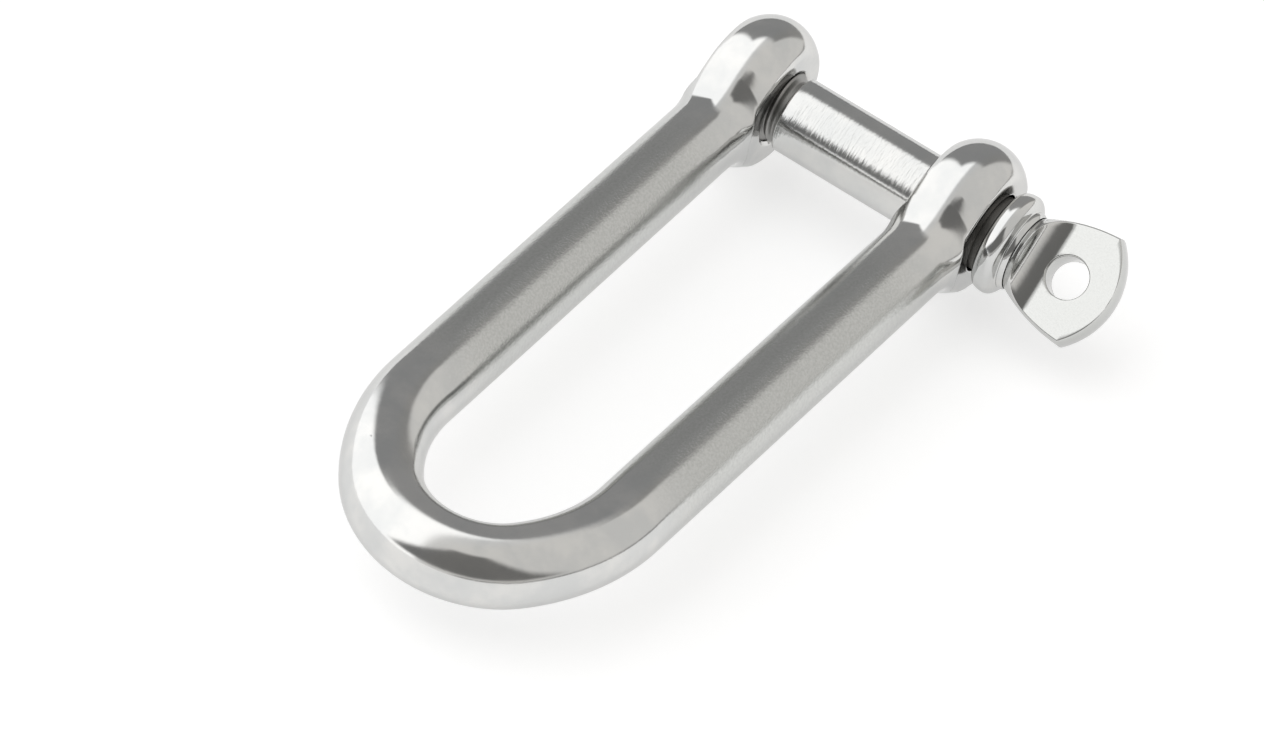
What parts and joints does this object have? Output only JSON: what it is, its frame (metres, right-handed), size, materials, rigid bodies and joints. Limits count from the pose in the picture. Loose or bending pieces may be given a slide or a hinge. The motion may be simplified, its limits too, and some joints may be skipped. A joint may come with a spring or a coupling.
{
  "type": "long d shackle",
  "caption": "Long D shackle of round polished steel bar with thick round ears, closed by a collared screw pin with a flat eye head.",
  "frame": {"origin": "on the screw pin's axis, midway between the two ears", "axes": "+X along the pin's axis towards its eye head, +Y out past the ears with the legs and bow at -Y, +Z across the body"},
  "size_m": [0.0588, 0.107, 0.02],
  "materials": {
    "body_steel": "polished ears and bow, satin legs",
    "pin_steel": "turned and polished"
  },
  "bodies": {
    "body": {"shackle_body": "body_steel"},
    "collar": {"pin_collar": "pin_steel"},
    "pin": {"screw_pin": "pin_steel"}
  },
  "joints": [
    {"name": "pin_travel", "type": "slide", "parent": "body", "child": "collar", "axis": [1, 0, 0], "range_m": [-0.00038, 0.0435]},
    {"name": "pin_turn", "type": "hinge", "parent": "collar", "child": "pin", "pos_m": [0, 0, 0], "axis": [1, 0, 0], "range_deg": [-90, 10440]}
  ],
  "couplings": [
    {"joint": "pin_turn", "follows": "pin_travel", "rad_per_m": 4188.8}
  ]
}
